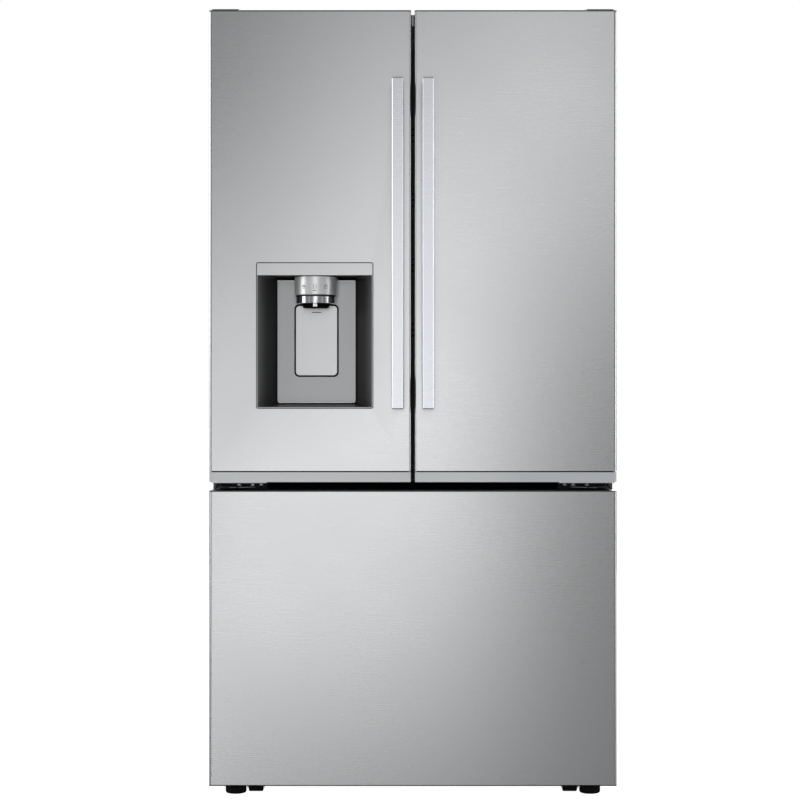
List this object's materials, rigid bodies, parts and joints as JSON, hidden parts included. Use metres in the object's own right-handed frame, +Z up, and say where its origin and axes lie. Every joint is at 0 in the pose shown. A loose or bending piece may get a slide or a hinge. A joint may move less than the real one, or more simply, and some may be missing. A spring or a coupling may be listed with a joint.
{
  "type": "french door refrigerator",
  "caption": "French door refrigerator in brushed steel with two upper doors, an ice and water dispenser in the left door, bar handles and a bottom freezer drawer",
  "frame": {"origin": "on the floor, under the middle of the box that holds the whole refrigerator, handles included", "axes": "+Z up, +X to the right of someone who faces the doors, -Y out of the front towards them"},
  "size_m": [0.908, 0.797, 1.784],
  "materials": {
    "stainless": "satin",
    "satin": "satin",
    "case_grey": "satin",
    "zinc": "satin",
    "liner_white": "satin",
    "foam": "matte",
    "black": "matte",
    "black_steel": "satin",
    "dark_grey": "satin",
    "gloss_grey": "gloss",
    "gasket": "matte",
    "clear": "gloss"
  },
  "bodies": {
    "cabinet": {"cabinet_wrapper": "case_grey", "cabinet_foam": "foam", "fridge_liner": "liner_white", "freezer_liner": "liner_white", "back_panel": "zinc", "machine_cover": "black", "power_inlet": "black", "base_frame": "zinc", "divider_rail": "black", "compressor": "black", "upper_shelf": "clear", "crisper_shelf": "clear", "air_duct": "liner_white", "evaporator_cover": "liner_white", "water_filter": "liner_white", "left_top_hinge": "zinc", "right_top_hinge": "zinc", "left_hinge_cover": "dark_grey", "right_hinge_cover": "dark_grey", "left_middle_hinge": "black_steel", "right_middle_hinge": "black_steel", "left_drawer_rail": "zinc", "right_drawer_rail": "zinc"},
    "left_door": {"left_door_skin": "stainless", "left_door_liner": "liner_white", "left_door_top_cap": "dark_grey", "left_door_bottom_cap": "gloss_grey", "left_door_gasket": "gasket", "left_handle": "satin", "dispenser_recess": "dark_grey", "dispenser_bezel": "satin", "dispenser_back_plate": "stainless", "dispenser_head": "satin", "left_door_bin": "clear", "ice_compartment": "liner_white"},
    "paddle": {"dispenser_paddle": "satin"},
    "mullion": {"flip_mullion": "dark_grey"},
    "right_door": {"right_door_skin": "stainless", "right_door_liner": "liner_white", "right_door_top_cap": "dark_grey", "right_door_bottom_cap": "gloss_grey", "right_door_gasket": "gasket", "right_handle": "satin", "right_door_bin_lower": "clear", "right_door_bin_upper": "clear"},
    "freezer_drawer": {"drawer_skin": "stainless", "drawer_liner": "liner_white", "drawer_top_cap": "dark_grey", "drawer_gasket": "gasket", "drawer_frame": "zinc", "drawer_basket": "liner_white"},
    "tray": {"upper_tray": "clear"},
    "left_crisper": {"crisper_left": "clear"},
    "right_crisper": {"crisper_right": "clear"},
    "left_leg": {"left_levelling_leg": "black"},
    "right_leg": {"right_levelling_leg": "black"},
    "left_roller": {"left_front_roller": "black"},
    "right_roller": {"right_front_roller": "black"},
    "rear_rollers": {"rear_roller_axle": "black"},
    "fan": {"condenser_fan": "black"}
  },
  "joints": [
    {"name": "left_door_hinge", "type": "hinge", "parent": "cabinet", "child": "left_door", "pos_m": [-0.434, -0.29, 0.716], "axis": [0, 0, -1], "range_deg": [0, 125]},
    {"name": "right_door_hinge", "type": "hinge", "parent": "cabinet", "child": "right_door", "pos_m": [0.434, -0.29, 0.716], "axis": [0, 0, 1], "range_deg": [0, 125]},
    {"name": "mullion_flip", "type": "hinge", "parent": "left_door", "child": "mullion", "pos_m": [-0.038, -0.212, 1.225], "axis": [0, 0, -1], "range_deg": [0, 90]},
    {"name": "paddle_push", "type": "hinge", "parent": "left_door", "child": "paddle", "pos_m": [-0.2184, -0.246, 1.1065], "axis": [1, 0, 0], "range_deg": [0, 8], "stiffness_Nm_per_rad": 0.8, "springref_deg": -2.86},
    {"name": "drawer_slide", "type": "slide", "parent": "cabinet", "child": "freezer_drawer", "axis": [0, -1, 0], "range_m": [0, 0.4]},
    {"name": "tray_slide", "type": "slide", "parent": "cabinet", "child": "tray", "axis": [0, -1, 0], "range_m": [0, 0.07]},
    {"name": "left_crisper_slide", "type": "slide", "parent": "cabinet", "child": "left_crisper", "axis": [0, -1, 0], "range_m": [0, 0.045]},
    {"name": "right_crisper_slide", "type": "slide", "parent": "cabinet", "child": "right_crisper", "axis": [0, -1, 0], "range_m": [0, 0.084]},
    {"name": "left_leg_turn", "type": "hinge", "parent": "cabinet", "child": "left_leg", "pos_m": [-0.405, -0.2, 0], "axis": [0, 0, 1], "continuous": true},
    {"name": "right_leg_turn", "type": "hinge", "parent": "cabinet", "child": "right_leg", "pos_m": [0.405, -0.2, 0], "axis": [0, 0, 1], "continuous": true},
    {"name": "left_roller_spin", "type": "hinge", "parent": "cabinet", "child": "left_roller", "pos_m": [-0.36, -0.185, 0.0185], "axis": [1, 0, 0], "continuous": true},
    {"name": "right_roller_spin", "type": "hinge", "parent": "cabinet", "child": "right_roller", "pos_m": [0.36, -0.185, 0.0185], "axis": [1, 0, 0], "continuous": true},
    {"name": "rear_rollers_spin", "type": "hinge", "parent": "cabinet", "child": "rear_rollers", "pos_m": [0, 0.3, 0.0185], "axis": [1, 0, 0], "continuous": true},
    {"name": "fan_spin", "type": "hinge", "parent": "cabinet", "child": "fan", "pos_m": [0.03, 0.29, 0.13], "axis": [1, 0, 0], "continuous": true}
  ]
}
